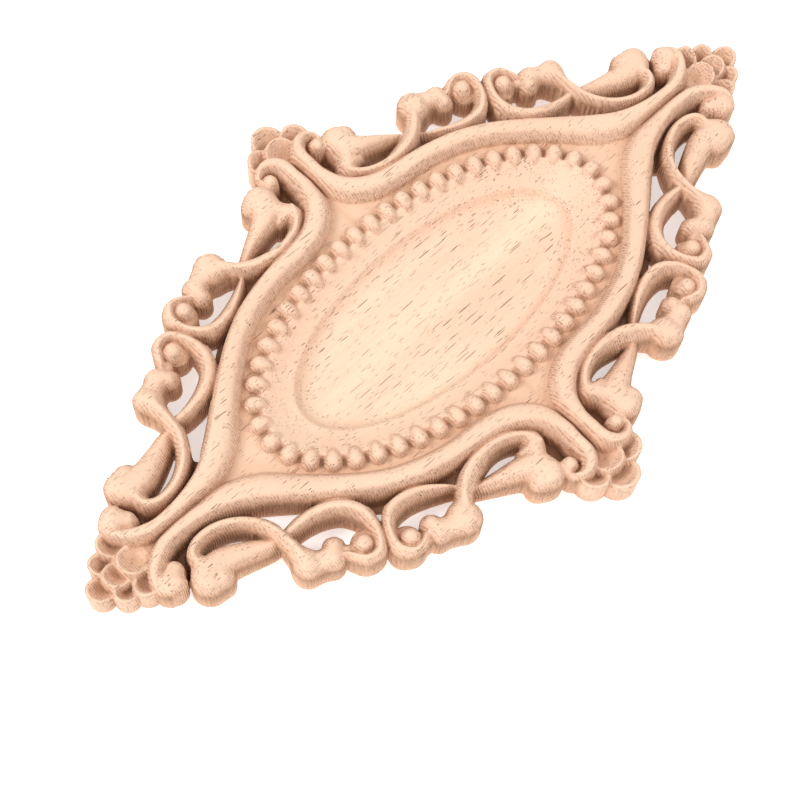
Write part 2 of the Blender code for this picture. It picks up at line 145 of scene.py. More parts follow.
class Carving:
    """One carved element: a footprint in plan and a height over it."""

    box: tuple[float, float, float, float] = (0.0, 0.0, HALF_LENGTH + 2, HALF_WIDTH + 2)

    def bound(self, x: Array, y: Array, reach: float) -> None:
        """Keep the box that the footprint lies in.

        Args:
            x: places of the element's rows along the board.
            y: places of the rows across it.
            reach: how far the footprint goes beyond its rows.
        """
        self.box = (x.min() - reach, y.min() - reach, x.max() + reach, y.max() + reach)

    def shape(self, x: Array, y: Array) -> tuple[Array, Array]:
        """Height and inside distance at points near the footprint."""
        raise NotImplementedError

    def over(self, x: Array, y: Array) -> tuple[Array, Array]:
        """Work out the element over any points.

        Args:
            x: places along the board.
            y: places across it.

        Returns:
            Height and inside distance; no height outside the footprint.
        """
        height = np.full(x.shape, VOID)
        inside = np.full(x.shape, VOID)
        low_x, low_y, high_x, high_y = self.box
        near = (x >= low_x) & (x <= high_x) & (y >= low_y) & (y <= high_y)
        if near.any():
            z, f = self.shape(x[near], y[near])
            height[near] = np.where(f > -EDGE_SLACK, z, VOID)
            inside[near] = f
        return height, inside


class Stem(Carving):
    """A stem with a crest line. Rows hold x, y, width left, width right and crest height."""

    def __init__(self, rows: list[Row], left: Flank, right: Flank) -> None:
        """Take the stem's rows and how its two sides fall.

        Args:
            rows: the rows of the crest line.
            left: how the left side falls.
            right: how the right side falls.
        """
        self.path = smooth_rows(rows)
        self.sides = {1: left, -1: right}
        self.bound(self.path[:, 0], self.path[:, 1], self.path[:, 2:4].max() + EDGE_SLACK)

    def shape(self, x: Array, y: Array) -> tuple[Array, Array]:
        """Height and inside distance at points near the stem.

        Args:
            x: places along the board.
            y: places across it.

        Returns:
            The height, and the distance inside the footprint.
        """
        distance, side, row = nearest_on_path(x, y, self.path)
        width = np.where(side > 0, row[..., 2], row[..., 3])
        v = np.clip(distance / np.maximum(width, 1e-3), 0, 1)
        height = np.empty_like(v)
        for sign, flank in self.sides.items():
            here = side == sign
            height[here] = row[here][..., 4] - flank.fall(v[here])
        return height, width - distance


def level_strip(rows: list[Row]) -> Stem:
    """Make a flat strip. Rows hold x, y, width to each side and height."""
    return Stem([(x, y, width, width, height) for x, y, width, height in rows], Flank.LEVEL, Flank.LEVEL)


@dataclass(frozen=True)
class Rounding:
    """How a puff is rounded: width of the rounded edge, its drop, and how limbs run together."""

    width: float
    drop: float
    blend: float = 0.9


SOFT = Rounding(3.3, 5.0)
EYE = Rounding(2.5, 3.2)
SHELF = Rounding(2.0, 2.0)
CUT_LEVEL = Rounding(0.1, 0.0)


class Puff(Carving):
    """Round lobes and limbs run together. Rows of each limb hold x, y, radius and height."""

    def __init__(self, rounding: Rounding, *limbs: list[Row]) -> None:
        """Take the puff's limbs.

        Args:
            rounding: how the edge is rounded.
            limbs: the rows of each limb; a limb of one row is a round lobe.
        """
        self.rounding = rounding
        self.limbs = [smooth_rows(limb, 6) for limb in limbs]
        rows = np.vstack(self.limbs)
        self.bound(rows[:, 0], rows[:, 1], rows[:, 2].max() + rounding.blend)

    def shape(self, x: Array, y: Array) -> tuple[Array, Array]:
        """Height and inside distance at points near the puff.

        Args:
            x: places along the board.
            y: places across it.

        Returns:
            The height, and the distance inside the footprint.
        """
        blend = self.rounding.blend
        inside = np.full(x.shape, FAR_OUTSIDE)
        weighted = np.zeros(x.shape)
        weights = np.zeros(x.shape)
        for limb in self.limbs:
            if len(limb) == 1:
                f = limb[0, 2] - np.hypot(x - limb[0, 0], y - limb[0, 1])
                top = np.full(x.shape, limb[0, 3])
            else:
                distance, _, row = nearest_on_path(x, y, limb)
                f = row[..., 2] - distance
                top = row[..., 3]
            weight = np.exp(np.clip(f, -STRONGEST, STRONGEST))
            weighted += weight * top
            weights += weight
            mix = np.clip(0.5 + 0.5 * (f - inside) / blend, 0, 1)
            inside = mix * f + (1 - mix) * inside + blend * mix * (1 - mix)
        v = 1 - np.clip(inside / self.rounding.width, 0, 1)
        return weighted / weights - self.rounding.drop * (1 - np.sqrt(1 - v**2)), inside


@dataclass(frozen=True)
class Ellipse:
    """An ellipse about the centre of the board, given by its half axes."""

    along: float
    across: float

    def inside(self, x: Array, y: Array) -> Array:
        """Work out how far inside the ellipse points lie.

        Args:
            x: places along the board.
            y: places across it.

        Returns:
            The distance inside the ellipse, negative outside, good near its edge.
        """
        r = np.maximum(np.hypot(x / self.along, y / self.across), 1e-6)
        slope = np.hypot(x / self.along**2, y / self.across**2)
        return (1 - r) * r / np.maximum(slope, 1e-9)


RING = Ellipse(51.1, 25.1)
DISH = Ellipse(41.1, 18.2)


@dataclass
class Ground(Carving):
    """The ground inside the moulding, with the dish sunk in it."""

    crest_rows: list[Row]
    bank: float = 8.8         # the beads grow out of a bank this high, which falls to the dish
    bank_foot: float = 0.8    # the bank starts to rise this far inside the line of the beads
    bank_rise: float = 1.5    # and reaches its height within this width
    bank_curve: float = 1.4   # how much flatter it is at the dish than on average
    dish_rim: float = 4.9
    dish_floor: float = 1.9
    dish_slope: float = 9.5   # width of the hollow slope inside the rim
    dish_hollow: float = 4.0  # how much steeper that slope is at the rim than on average
    margin: float = 5.0       # the ground ends this far inside the tips

    def __post_init__(self) -> None:
        """Follow the crest of the moulding."""
        crest = smooth_rows(self.crest_rows)
        self.crest = crest[np.argsort(crest[:, 0])]
        self.box = (0, 0, crest[:, 0].max() - self.margin, crest[:, 1].max() - self.margin)

    def shape(self, x: Array, y: Array) -> tuple[Array, Array]:
        """Height and inside distance at points inside the moulding.

        Args:
            x: places along the board.
            y: places across it.

        Returns:
            The height, and the distance inside the footprint.
        """
        dish = DISH.inside(x, y)
        ring = RING.inside(x, y)
        v = np.clip(dish / self.dish_slope, 0, 1)
        sunk = self.dish_floor + (self.dish_rim - self.dish_floor) * (1 - v)**self.dish_hollow
        up = np.clip(-dish / np.maximum(ring - dish, 1e-6), 0, 1)
        banked = self.dish_rim + (self.bank - self.dish_rim) * up**self.bank_curve
        rise = np.clip((ring - self.bank_foot) / self.bank_rise, 0, 1)
        banked = FIELD + (banked - FIELD) * rise * rise * (3 - 2 * rise)
        height = np.where(dish > 0, sunk, banked)
        return height, np.interp(x, self.crest[:, 0], self.crest[:, 1]) - y


@dataclass
class BeadRing(Carving):
    """A ring of domed beads, evenly spaced along an ellipse, with one at each long end."""

    count: int = 50
    base: float = FIELD       # level from which the domes rise
    rise: float = 2.6
    outer: float = 1.1        # length of a bead outside the ring, in bead radii
    inner: float = 1.7        # and inside it
    ease: float = 0.35        # how much softer than a ball a bead falls on that side
    places: int = 3601        # places at which the ring is measured

    def __post_init__(self) -> None:
        """Space the beads round the ring."""
        a, b = RING.along, RING.across
        t = np.linspace(0, 2 * np.pi, self.places)
        steps = np.hypot(np.diff(a * np.cos(t)), np.diff(b * np.sin(t)))
        run = np.concatenate([[0], np.cumsum(steps)])
        angles = np.interp(np.arange(self.count) * run[-1] / self.count, run, t)
        self.beads = [(a * math.cos(s), b * math.sin(s), s) for s in angles]
        self.box = (0, 0, a + 2 * BEAD_RADIUS, b + 2 * BEAD_RADIUS)

    def shape(self, x: Array, y: Array) -> tuple[Array, Array]:
        """Height and inside distance at points near the beads.

        Args:
            x: places along the board.
            y: places across it.

        Returns:
            The height, and the distance inside the footprint.
        """
        height = np.full(x.shape, VOID)
        for cx, cy, s in self.beads:
            if cx < -BEAD_RADIUS or cy < -BEAD_RADIUS:
                continue
            nx, ny = math.cos(s) / RING.along, math.sin(s) / RING.across
            length = math.hypot(nx, ny)
            across = ((x - cx) * nx + (y - cy) * ny) / length / BEAD_RADIUS
            across /= np.where(across > 0, self.outer, self.inner)
            along = ((y - cy) * nx - (x - cx) * ny) / length / BEAD_RADIUS
            r = across**2 + along**2
            roundness = 0.5 + self.ease * np.clip(-across, 0, 1)
            dome = self.base + self.rise * np.clip(1 - r, 0, 1)**roundness
            height = np.maximum(height, np.where(r < 1, dome, VOID))
        return height, np.where(height > 0, 1.0, -1.0)


@dataclass
class Shell(Carving):
    """Scooped scales that fan out from a root, each lying over the one before it.

    Rows hold x, y, radius and rim height. A scale is highest at its far rim.
    """

    root: tuple[float, float]
    scales: list[Row]
    lip: float = 0.7          # width of the rounded rim
    lip_drop: float = 1.0     # the rim's edge lies this much below its top
    scoop: float = 2.1        # depth of the hollow below the rim
    tilt: float = 3.0         # fall from the far rim to the side nearest the root

    def __post_init__(self) -> None:
        """Find the box of the scales."""
        rows = np.array(self.scales)
        self.bound(rows[:, 0], rows[:, 1], rows[:, 2].max())

    def shape(self, x: Array, y: Array) -> tuple[Array, Array]:
        """Height and inside distance at points near the shell.

        Args:
            x: places along the board.
            y: places across it.

        Returns:
            The height, and the distance inside the footprint.
        """
        height = np.full(x.shape, VOID)
        inside = np.full(x.shape, VOID)
        for cx, cy, radius, rim in self.scales:
            f = radius - np.hypot(x - cx, y - cy)
            out_x, out_y = cx - self.root[0], cy - self.root[1]
            reach = ((x - cx) * out_x + (y - cy) * out_y) / math.hypot(out_x, out_y) / radius
            hollow = np.clip((f - self.lip) / (radius - self.lip), 0, 1)
            lip = np.clip(1 - f / self.lip, 0, 1)
            z = rim - self.scoop * (1 - (1 - hollow)**2) - self.lip_drop * lip**2
            z -= self.tilt * np.clip(1 - reach, 0, 2) / 2
            height = np.where(f > 0, z, np.where(height > VOID, height, z))
            inside = np.maximum(inside, f)
        return height, inside


@dataclass
class QuarterDesign:
    """The design of one quarter, in drawn units."""

    # Crest of the moulding from the short tip round to the long tip:
    # x, y, width outside the crest, width inside it, crest height
    moulding: list[Row] = field(default_factory=lambda: [
        (2.6, 45.5, 2.0, 2.4, CREST), (2.7, 41.2, 2.1, 2.8, CREST),
        (4.7, 36.0, 2.4, 4.0, CREST), (9.2, 32.2, 2.6, 3.9, CREST), (15.5, 30.5, 2.4, 3.7, CREST),
        (24.0, 29.6, 2.2, 3.6, CREST), (32.6, 27.3, 2.3, 3.6, CREST), (40.3, 23.6, 2.3, 3.6, CREST),
        (47.2, 18.6, 2.4, 3.8, CREST), (54.1, 13.0, 2.5, 4.4, CREST), (60.1, 8.2, 2.5, 5.4, CREST),
        (66.1, 4.6, 2.2, 4.8, CREST), (73.0, 2.7, 1.9, 3.0, CREST), (80.0, 2.1, 1.8, 2.3, CREST),
    ])
    # The same crest where it curls round a ball at the short tip and at the long tip
    short_curl: list[Row] = field(default_factory=lambda: [
        (9.3, 49.2, 0.7, 0.8, 8.6), (8.7, 50.8, 1.0, 1.0, 9.2), (6.6, 52.0, 1.6, 1.5, 9.7),
        (4.3, 51.4, 2.0, 1.9, 10.1), (2.8, 49.0, 2.0, 2.4, CREST),
    ])
    long_curl: list[Row] = field(default_factory=lambda: [
        (84.0, 2.7, 2.0, 2.3, CREST), (87.4, 4.5, 2.0, 1.9, 10.1), (89.8, 7.1, 1.7, 1.4, 9.6),
        (90.3, 9.4, 1.1, 0.9, 9.0), (89.4, 11.1, 0.7, 0.7, 8.4),
    ])

    def tips(self) -> list[Carving]:
        """Lay out the middle of the board and its tips.

        Returns:
            The ground, the beads, the moulding with its curls, and the shells.
        """
        path = self.short_curl + self.moulding + self.long_curl
        return [
            Ground(self.moulding),
            BeadRing(),
            Stem(path, Flank.MOULDING_OUTSIDE, Flank.MOULDING_INSIDE),
            Puff(EYE, [(7.4, 48.2, 2.15, 9.6)]),
            Puff(EYE, [(87.1, 9.2, 3.3, 9.9), (85.3, 7.6, 2.5, 8.8)]),
            Shell((0, 47.0), [(0, 56.9, 4.3, 8.2), (4.7, 53.2, 4.0, 8.7), (0, 52.0, 4.4, 9.3)]),
            Shell((84.0, 0), [(98.9, 0, 3.2, 7.7), (95.3, 4.0, 2.9, 8.0), (91.3, 5.9, 3.1, 8.6),
                              (94.4, 0, 3.4, 8.5), (89.8, 0, 3.9, 9.1)]),
        ]

    def short_side(self) -> list[Carving]:
        """Lay out the three scrolls nearest the short tip.

        Returns:
            Their stems, lobes and eyes.
        """
        return [
            # knuckle, leaf and the bend under it
            Puff(SOFT, [(12.2, 46.2, 4.15, 9.9)], [(14.8, 46.3, 2.65, 9.5)],
                 [(12.4, 43.8, 3.9, 9.9), (14.3, 42.2, 3.5, 9.6), (17.5, 40.8, 2.7, 9.0),
                  (21.1, 39.4, 2.1, 8.1), (25.3, 37.6, 1.5, 6.8)],
                 [(11.8, 42.4, 2.6, 9.6), (9.9, 40.2, 2.8, 9.3), (8.7, 38.4, 2.5, 9.1),
                  (10.0, 36.2, 1.9, 9.0)],
                 [(10.0, 39.8, 2.4, 9.2), (11.4, 39.4, 1.9, 8.8), (12.8, 39.0, 1.2, 8.2)]),
            # stem with its lobes and bud
            Stem([(8.0, 40.0, 2.0, 1.0, 9.0), (8.9, 37.4, 2.0, 1.3, 9.0), (11.8, 34.9, 2.0, 1.4, 9.2),
                  (16.0, 33.5, 2.1, 1.4, 9.4), (20.5, 33.2, 2.9, 1.4, 9.6), (25.0, 34.2, 3.1, 1.5, SCROLL),
                  (28.4, 36.6, 2.5, 1.6, SCROLL), (30.6, 39.6, 2.2, 2.2, SCROLL)], Flank.HOLLOW, Flank.ROUND),
            Puff(SOFT, [(32.4, 41.0, 4.1, 9.9)], [(38.5, 39.7, 2.8, 9.5)],
                 [(30.0, 38.2, 2.0, 9.7), (32.2, 40.0, 3.0, 9.8)],
                 [(35.6, 40.6, 2.8, 8.7), (38.2, 38.8, 2.7, 9.3), (38.6, 37.2, 2.6, 8.9)]),
            # small volute and its eye
            Stem([(27.5, 35.4, 0.8, 0.6, 6.2), (30.5, 32.8, 1.8, 0.9, 7.5), (34.5, 30.2, 2.5, 1.2, 8.5),
                  (38.5, 28.7, 2.8, 1.3, 9.1), (42.5, 28.6, 2.8, 1.3, 9.5), (45.4, 30.6, 2.2, 1.3, SCROLL),
                  (47.1, 33.8, 1.6, 1.5, SCROLL), (47.2, 37.0, 1.3, 2.2, SCROLL), (45.3, 39.2, 1.1, 1.7, 9.6),
                  (42.9, 39.0, 0.9, 1.5, 9.2), (41.0, 38.0, 0.7, 1.2, 8.6)], Flank.HOLLOW, Flank.ROUND),
            Puff(SHELF, [(45.0, 36.3, 3.7, 6.9)]),
            Puff(EYE, [(44.1, 36.5, 2.3, SCROLL)]),
            Puff(SHELF, [(41.9, 38.6, 1.9, 7.4)]),
        ]

    def long_side(self) -> list[Carving]:
        """Lay out the three scrolls nearest the long tip.

        Returns:
            Their stems, lobes and eyes.
        """
        return [
            # large volute and its eye
            Stem([(63.4, 17.9, 1.6, 1.8, 7.7), (58.5, 17.9, 1.8, 2.1, 8.5), (54.0, 18.9, 2.0, 2.3, 9.1),
                  (50.2, 21.2, 2.1, 2.3, 9.5), (48.0, 24.6, 2.1, 2.3, SCROLL), (47.8, 28.4, 1.7, 1.9, SCROLL),
                  (49.1, 31.9, 1.6, 1.6, SCROLL), (51.1, 33.9, 1.9, 1.4, SCROLL), (53.8, 33.6, 1.8, 1.2, 9.6),
                  (55.4, 31.4, 1.5, 1.1, 9.2), (56.3, 29.7, 1.2, 0.9, 8.7)], Flank.ROUND, Flank.HOLLOW),
            Puff(SHELF, [(51.7, 31.0, 3.7, 6.9)]),
            Puff(EYE, [(52.4, 30.7, 2.35, SCROLL)]),
            Puff(SHELF, [(56.0, 29.4, 1.9, 7.4)]),
            # lobes and bud on a stem that sweeps towards the long tip
            Puff(SOFT, [(59.1, 28.4, 2.9, 9.5)], [(63.8, 25.8, 3.5, 9.8)],
                 [(61.4, 27.2, 2.7, 8.7), (58.6, 27.6, 2.7, 9.2), (57.2, 26.6, 2.6, 8.9)],
                 [(63.8, 24.6, 2.9, 9.8), (63.9, 20.4, 1.8, 9.7)]),
            Stem([(63.6, 24.0, 2.0, 1.8, 9.7), (63.7, 19.5, 1.8, 1.5, 9.7), (64.3, 15.0, 1.8, 1.6, 9.7),
                  (66.4, 10.9, 1.9, 1.5, 9.5), (69.6, 7.9, 2.1, 1.4, 9.3), (73.4, 6.2, 2.3, 1.4, 9.1),
                  (77.2, 6.0, 2.2, 1.4, 9.0), (79.7, 7.2, 2.1, 1.5, 9.2), (80.6, 9.0, 1.8, 1.3, 9.3)],
                 Flank.HOLLOW, Flank.ROUND),
            # knuckle and leaf beside the long tip
            Puff(SOFT, [(81.2, 14.1, 3.95, 9.8)], [(78.8, 15.5, 2.9, 9.4)],
                 [(80.7, 12.9, 3.6, 9.8), (76.6, 12.9, 3.4, 9.3), (71.6, 14.6, 2.9, 8.4),
                  (66.8, 16.7, 2.3, 7.2), (63.5, 17.6, 1.7, 6.6)],
                 [(80.4, 11.0, 2.6, 9.6), (80.2, 9.2, 1.9, 9.3)]),
        ]

    def grooves(self) -> list[Carving]:
        """Lay out the ground left in the narrow grooves beside the moulding.

        Returns:
            Level strips and patches.
        """
        return [
            level_strip([(5.4, 45.0, 1.5, CURL_GROUND), (6.4, 39.5, 1.6, 2.6), (9.5, 35.0, 1.6, 5.2),
                         (15.0, 32.6, 1.6, 5.4), (23.0, 32.0, 1.8, 5.0), (28.2, 31.6, 2.8, 2.8),
                         (34.0, 29.2, 1.7, GROOVE), (40.8, 26.2, 1.7, GROOVE), (46.0, 22.5, 1.6, GROOVE),
                         (50.5, 19.0, 1.5, GROOVE), (53.0, 17.0, 1.0, GROOVE)]),
            level_strip([(65.5, 8.6, 1.2, GROOVE), (69.0, 6.0, 1.6, GROOVE), (75.0, 4.4, 1.6, GROOVE),
                         (81.6, 5.2, 2.2, GROOVE), (83.6, 8.4, 2.6, CURL_GROUND)]),
            Puff(CUT_LEVEL, [(7.4, 44.0, 3.2, CURL_GROUND)], [(5.4, 47.8, 2.2, CURL_GROUND)]),
            # foot of the V grooves between the twin bands, of the notch between two scales,
            # and of the corner where a leaf leaves its stem
            level_strip([(74.0, 0, 1.4, FIELD), (87.0, 0, 1.4, V_FOOT)]),
            level_strip([(0, 38.0, 1.2, V_FOOT), (0, 48.5, 1.2, V_FOOT)]),
            Puff(CUT_LEVEL, [(92.5, 2.9, 0.8, V_FOOT)]),
            Puff(CUT_LEVEL, [(67.1, 13.7, 0.6, GROOVE)]),
        ]

    def elements(self) -> list[Carving]:
        """Every carved element of the quarter."""
        return self.tips() + self.short_side() + self.long_side() + self.grooves()


def carve(elements: list[Carving], x: Array, y: Array) -> tuple[Array, Array]:
    """Lay the elements over each other.

    Args:
        elements: the carved elements.
        x: places along the board.
        y: places across it.

    Returns:
        The height of the highest element at each point, and how far inside the outline it is.
    """
    height = np.full(x.shape, VOID)
    inside = np.full(x.shape, VOID)
    for element in elements:
        z, f = element.over(x, y)
        height = np.maximum(height, z)
        inside = np.maximum(inside, f)
    return height, inside


def blurred(table: Array, weights: Array) -> Array:
    """Blur down the columns of a table that is mirrored at its first row.

    Args:
        table: the values.
        weights: the blur's weights, an odd number of them.

    Returns:
        The blurred values.
    """
    reach = len(weights) // 2
    top = table[reach:0:-1]
    bottom = np.repeat(table[-1:], reach, 0)
    tall = np.vstack([top, table, bottom])
    return sum(w * tall[k:k + len(table)] for k, w in enumerate(weights))


@dataclass
class Field:
    """Values on the carving grid of one quarter, read at any place of the whole board."""

    values: Array
    step: float

    def at(self, x: Array, y: Array) -> Array:
        """Read the values between the grid's points.

        Args:
            x: places along the board, on either side of the centre.
            y: places across it.

        Returns:
            The value at each place.
        """
        rows, cols = self.values.shape
        u = np.clip(np.abs(x) / self.step, 0, cols - 1.001)
        v = np.clip(np.abs(y) / self.step, 0, rows - 1.001)
        i, j = u.astype(int), v.astype(int)
        s, t = u - i, v - j
        low = self.values[j, i] * (1 - s) + self.values[j, i + 1] * s
        high = self.values[j + 1, i] * (1 - s) + self.values[j + 1, i + 1] * s
        return low * (1 - t) + high * t

    def softened(self, solid: Array, width: float) -> "Field":
        """Blur the values over the solid part, mirrored at the two centre lines.

        Args:
            solid: where the grid lies inside the outline.
            width: spread of the blur, in drawn units.

        Returns:
            The blurred field.
        """
        spread = width / self.step
        reach = int(math.ceil(BLUR_REACH * spread))
        offsets = np.arange(-reach, reach + 1)
        weights = np.exp(-0.5 * (offsets / spread)**2)
        weights /= weights.sum()
        held = solid.astype(float)
        total = blurred(blurred(self.values * held, weights).T, weights).T
        share = blurred(blurred(held, weights).T, weights).T
        known = np.maximum(share, LEAST_SHARE)
        return Field(np.where(share > LEAST_SHARE, total / known, self.values), self.step)


def deselect_all() -> None:
    """Leave no object selected."""
    bpy.ops.object.select_all(action="DESELECT")


def take_up(piece: bpy.types.Object) -> None:
    """Make a piece the only selected and active object.

    Args:
        piece: the piece.
    """
    deselect_all()
    piece.select_set(True)
    bpy.context.view_layer.objects.active = piece


def points_of(piece: bpy.types.Object) -> Array:
    """Read the points of a piece.

    Args:
        piece: the piece.

    Returns:
        Its points as rows of x, y and z.
    """
    flat = np.empty(len(piece.data.vertices) * 3)
    piece.data.vertices.foreach_get("co", flat)
    return flat.reshape(-1, 3)


def move_points(piece: bpy.types.Object, points: Array) -> None:
    """Put the piece's points at new places."""
    piece.data.vertices.foreach_set("co", points.ravel())
    piece.data.update()


def delete_faces(piece: bpy.types.Object, chosen: Array) -> None:
    """Delete some faces of a piece.

    Args:
        piece: the piece, selected and active.
        chosen: true for each face that goes.
    """
    mesh = piece.data
    bpy.context.tool_settings.mesh_select_mode = (False, False, True)
    mesh.vertices.foreach_set("select", np.zeros(len(mesh.vertices), bool))
    mesh.edges.foreach_set("select", np.zeros(len(mesh.edges), bool))
    mesh.polygons.foreach_set("select", chosen)
    bpy.ops.object.mode_set(mode="EDIT")
    bpy.ops.mesh.delete(type="FACE")
    bpy.ops.object.mode_set(mode="OBJECT")


def face_corners(piece: bpy.types.Object) -> tuple[Array, Array]:
    """List the corners of a piece's faces.

    Args:
        piece: the piece.

    Returns:
        The point of each face corner, and the number of the face it belongs to.
    """
    mesh = piece.data
    corners = np.empty(len(mesh.loops), int)
    mesh.loops.foreach_get("vertex_index", corners)
    sizes = np.empty(len(mesh.polygons), int)
    mesh.polygons.foreach_get("loop_total", sizes)
    return corners, np.repeat(np.arange(len(sizes)), sizes)


@dataclass
class CarvedApplique:
    """The applique: a blank sawn to its outline, carved, given its flat back and mirrored."""

    step: float = 0.22            # spacing of the carving grid
    edge_softness: float = 0.22   # how far sharp cuts are rounded over
    quarter_triangles: int = 43000
    line_reach: float = 0.1       # a rim point this near a centre line belongs on it
    probe: float = 0.05           # the outline's slope is measured over this distance
    slides: int = 3               # times that a rim point is slid towards the outline
    slide: float = 0.6            # steps that it goes each time at the most
    near_line: float = 0.2        # steps from a centre line within which it slides along the line
    least_slope: float = 0.25     # square of the slope taken where the outline's is less
    merge: float = 0.001          # distance between points of two quarters that become one
    smooth_angle: float = 48.0    # edges blunter than this many degrees are shaded smooth
    narrow: float = 0.8           # spread of the blur that finds narrow hollows
    broad: float = 2.4            # and of the one that finds broad hollows
    narrow_depth: float = 0.9     # depth below the blur that counts as a full narrow hollow
    broad_depth: float = 3.2
    narrow_share: float = 0.55    # the rest of the mark is for broad hollows
    base_shade: float = 0.3       # painted shade at the foot of the walls and on the back
    pit_shade: float = 0.55       # painted shade in the pits between the beads
    pit_place: float = 0.3        # the pits lie this far outside the line of the beads
    pit_depth: float = 2.0        # the painted shade starts this far above the field
    rim_shade: float = 0.14       # painted shade on the wall just inside the rim of the dish
    rim_place: float = 0.8        # it lies this far inside the rim
    rim_spread: float = 1.1
    design: QuarterDesign = field(default_factory=QuarterDesign)

    def __post_init__(self) -> None:
        """Work out the relief of one quarter on the carving grid."""
        self.elements = self.design.elements()
        cols = int(math.ceil((HALF_LENGTH + 2) / self.step))
        rows = int(math.ceil((HALF_WIDTH + 2) / self.step))
        self.size = (cols, rows)
        x, y = np.meshgrid(np.arange(cols + 1) * self.step, np.arange(rows + 1) * self.step)
        height, self.inside = carve(self.elements, x, y)
        height[height < 0] = GROOVE   # the rim slides over ground that no element covers
        self.solid = self.inside > 0
        self.relief = Field(height, self.step)
        self.face = self.relief.softened(self.solid, self.edge_softness)

    def blank(self) -> bpy.types.Object:
        """Lay out the blank of one quarter as a fine grid.

        Returns:
            The blank.
        """
        cols, rows = self.size
        width, depth = cols * self.step, rows * self.step
        deselect_all()
        bpy.ops.mesh.primitive_grid_add(
            x_subdivisions=cols, y_subdivisions=rows, size=1, location=(width / 2, depth / 2, 0),
        )
        board = bpy.context.active_object
        board.name = board.data.name = "carved_relief"
        board.scale = (width, depth, 1)
        bpy.ops.object.transform_apply(location=True, rotation=True, scale=True)
        return board

    def kept_cells(self) -> Array:
        """Choose the grid cells inside the outline, with no two that touch only at a corner.

        Returns:
            True for each cell that is kept.
        """
        f = self.inside
        cells = (f[:-1, :-1] + f[1:, :-1] + f[:-1, 1:] + f[1:, 1:]) > 0
        while True:
            a, b = cells[:-1, :-1], cells[1:, 1:]
            c, d = cells[:-1, 1:], cells[1:, :-1]
            falling = a & b & ~c & ~d
            rising = c & d & ~a & ~b
            if not (falling.any() or rising.any()):
                return cells
            cells[:-1, 1:] |= falling
            cells[:-1, :-1] |= rising

    def saw_outline(self, board: bpy.types.Object) -> None:
        """Cut away the cells outside the outline and in the openings.

        Args:
            board: the blank.
        """
        cells = self.kept_cells()
        points = points_of(board)
        corners, owner = face_corners(board)
        middle = np.zeros((len(board.data.polygons), 2))
        np.add.at(middle, owner, points[corners, :2] / 4)
        cell = (middle / self.step).astype(int)
        delete_faces(board, ~cells[cell[:, 1], cell[:, 0]])

    def carve_face(self, board: bpy.types.Object) -> None:
        """Slide the rim onto the true outline and cut every point to its height.

        Args:
            board: the sawn blank.
        """
        points = points_of(board)
        corners, _ = face_corners(board)
        shared = np.bincount(corners, minlength=len(points))
        rim = shared < 4
        x, y = points[rim, 0], points[rim, 1]
        near_line = self.near_line * self.step
        furthest = self.slide * self.step
        for _ in range(self.slides):
            here = carve(self.elements, x, y)[1]
            slope_x = (carve(self.elements, x + self.probe, y)[1] - here) / self.probe
            slope_y = (carve(self.elements, x, y + self.probe)[1] - here) / self.probe
            on_x, on_y = x < near_line, y < near_line
            slope_x = np.where(on_x, 0, slope_x)
            slope_y = np.where(on_y, 0, slope_y)
            steep = np.maximum(slope_x**2 + slope_y**2, self.least_slope)
            held = (on_x | on_y) & (here > self.step)
            shift = np.where(held, 0, np.clip(here / steep, -furthest, furthest))
            x = x - shift * slope_x
            y = y - shift * slope_y
        points[rim, 0] = x
        points[rim, 1] = y
        points[:, 2] = self.face.at(points[:, 0], points[:, 1])
        move_points(board, points)

    def thin(self, board: bpy.types.Object) -> None:
        """Bring the carved face down to its number of triangles, keeping its ridges.

        Args:
            board: the carved quarter.
        """
        take_up(board)
        thinning = board.modifiers.new("thinning", "DECIMATE")
        thinning.ratio = self.quarter_triangles / (2 * len(board.data.polygons))
        bpy.ops.object.modifier_apply(modifier=thinning.name)
        points = points_of(board)
        for axis in (0, 1):
            points[np.abs(points[:, axis]) < self.line_reach, axis] = 0.0
        move_points(board, points)

    def give_thickness(self, board: bpy.types.Object) -> None:
        """Draw the rim down to the back and close the back.

        Args:
            board: the carved quarter.
        """
        take_up(board)
        bpy.context.tool_settings.mesh_select_mode = (False, True, False)
        bpy.ops.object.mode_set(mode="EDIT")
        bpy.ops.mesh.select_all(action="DESELECT")
        bpy.ops.mesh.select_non_manifold(
            extend=False, use_wire=False, use_boundary=True,
            use_multi_face=False, use_non_contiguous=False, use_verts=False,
        )
        bpy.ops.mesh.extrude_edges_move(TRANSFORM_OT_translate={"value": (0, 0, -1)})
        bpy.ops.transform.resize(value=(1, 1, 0), center_override=(0, 0, 0))
        bpy.ops.mesh.fill(use_beauty=True)
        bpy.ops.object.mode_set(mode="OBJECT")

        # The two cut faces on the centre lines are opened again for the mirror
        points = points_of(board)
        corners, owner = face_corners(board)
        shut = np.zeros(len(board.data.polygons), bool)
        for axis in (0, 1):
            off_line = np.abs(points[corners, axis]) > OFF_LINE
            shut |= np.bincount(owner, off_line, len(shut)) == 0
        delete_faces(board, shut)

    def mirror(self, board: bpy.types.Object) -> None:
        """Mirror the quarter to the whole piece and turn its faces outwards.

        Args:
            board: the closed quarter.
        """
        take_up(board)
        whole = board.modifiers.new("four_quarters", "MIRROR")
        whole.use_axis = (True, True, False)
        whole.use_mirror_merge = True
        whole.merge_threshold = self.merge
        bpy.ops.object.modifier_apply(modifier=whole.name)
        board.scale = (DRAWN, DRAWN, DRAWN)
        bpy.ops.object.transform_apply(location=False, rotation=False, scale=True)
        bpy.ops.object.mode_set(mode="EDIT")
        bpy.ops.mesh.select_all(action="SELECT")
        bpy.ops.mesh.normals_make_consistent(inside=False)
        bpy.ops.object.mode_set(mode="OBJECT")
        bpy.ops.object.shade_smooth_by_angle(angle=math.radians(self.smooth_angle))

